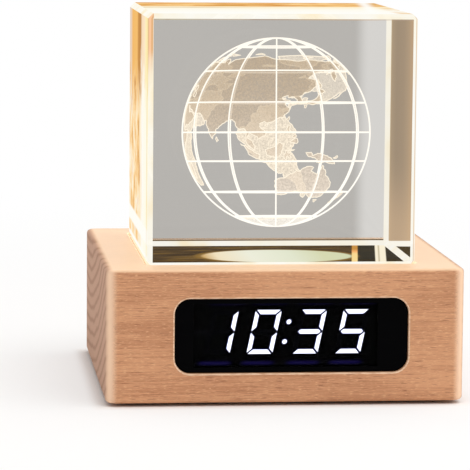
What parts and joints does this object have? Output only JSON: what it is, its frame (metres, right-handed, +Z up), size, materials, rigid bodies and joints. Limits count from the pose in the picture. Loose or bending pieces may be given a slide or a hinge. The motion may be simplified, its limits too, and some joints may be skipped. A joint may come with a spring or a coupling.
{
  "type": "crystal alarm clock",
  "caption": "Bedside alarm clock: a beech base with a lit digital display, and a clear glass block with an engraved globe, lit from below, in a seat on top.",
  "frame": {"origin": "middle of the base, on the surface that the clock's feet stand on", "axes": "+Z up, -Y out of the display face at the front, +X to the right seen from the front"},
  "size_m": [0.106, 0.106, 0.1145],
  "materials": {
    "beech": "fine-sanded beech with a clear matt oil",
    "clear_glass": "polished optical glass, its edges chamfered and polished",
    "engraved_glass": "white inner engraving in the glass",
    "smoked_window": "smoked acrylic, glossy",
    "black_plastic": "fine matt black moulding",
    "white_plastic": "satin white moulding",
    "diffuser": "frosted light diffuser",
    "digit_resin": "frosted resin in the lit digits",
    "foot_rubber": "soft matt rubber",
    "felt": "thin dense felt",
    "screw_steel": "zinc-plated steel",
    "spring_steel": "nickel-plated steel",
    "circuit_board": "solder-masked fibreglass board",
    "cell_sleeve": "plain printed sleeve over a metal can",
    "lead_sheath": "soft plastic sheath",
    "ribbon_sheath": "flat ribbon cable"
  },
  "bodies": {
    "base": {"wood_housing": "beech", "crystal_pad": "felt", "light_window": "diffuser", "light_cup": "white_plastic", "light_board": "circuit_board", "light_led": "diffuser", "cup_screw_1": "screw_steel", "cup_screw_2": "screw_steel", "bottom_cover": "black_plastic", "cover_screw_1": "screw_steel", "cover_screw_2": "screw_steel", "cover_screw_3": "screw_steel", "cover_screw_4": "screw_steel", "foot_1": "foot_rubber", "foot_2": "foot_rubber", "foot_3": "foot_rubber", "foot_4": "foot_rubber", "battery_tray": "black_plastic", "battery_cell_1": "cell_sleeve", "battery_cell_2": "cell_sleeve", "battery_cell_3": "cell_sleeve", "battery_spring_1": "spring_steel", "battery_spring_2": "spring_steel", "battery_spring_3": "spring_steel", "battery_contact_1": "spring_steel", "battery_contact_2": "spring_steel", "battery_contact_3": "spring_steel", "display_window": "smoked_window", "display_case": "black_plastic", "digit_1": "digit_resin", "digit_2": "digit_resin", "digit_3": "digit_resin", "digit_4": "digit_resin", "colon": "digit_resin", "clock_board": "circuit_board", "board_screw_1": "screw_steel", "board_screw_2": "screw_steel", "clock_chip": "black_plastic", "timing_quartz": "spring_steel", "buzzer": "black_plastic", "rear_panel": "black_plastic", "key_board": "circuit_board", "key_board_screw_1": "screw_steel", "key_board_screw_2": "screw_steel", "key_switch_1": "black_plastic", "key_switch_2": "black_plastic", "key_switch_3": "black_plastic", "key_switch_4": "black_plastic", "usb_socket": "spring_steel", "usb_tongue": "black_plastic", "light_lead": "lead_sheath", "battery_lead": "lead_sheath", "key_ribbon": "ribbon_sheath"},
    "crystal": {"crystal_block": "clear_glass", "engraved_globe": "engraved_glass"},
    "battery_door": {"battery_door": "black_plastic"},
    "button_set": {"button_set": "white_plastic"},
    "button_up": {"button_up": "white_plastic"},
    "button_down": {"button_down": "white_plastic"},
    "button_light": {"button_light": "white_plastic"}
  },
  "joints": [
    {"name": "crystal_lift", "type": "slide", "parent": "base", "child": "crystal", "axis": [0, 0, 1], "range_m": [0, 0.02]},
    {"name": "battery_door_hinge", "type": "hinge", "parent": "base", "child": "battery_door", "pos_m": [0, -0.01155, 0.0022], "axis": [-1, 0, 0], "range_deg": [0, 75]},
    {"name": "button_set_press", "type": "slide", "parent": "base", "child": "button_set", "axis": [0, -1, 0], "range_m": [0, 0.0005], "stiffness_N_per_m": 2000, "springref_m": -0.0003},
    {"name": "button_up_press", "type": "slide", "parent": "base", "child": "button_up", "axis": [0, -1, 0], "range_m": [0, 0.0005], "stiffness_N_per_m": 2000, "springref_m": -0.0003},
    {"name": "button_down_press", "type": "slide", "parent": "base", "child": "button_down", "axis": [0, -1, 0], "range_m": [0, 0.0005], "stiffness_N_per_m": 2000, "springref_m": -0.0003},
    {"name": "button_light_press", "type": "slide", "parent": "base", "child": "button_light", "axis": [0, -1, 0], "range_m": [0, 0.0005], "stiffness_N_per_m": 2000, "springref_m": -0.0003}
  ]
}
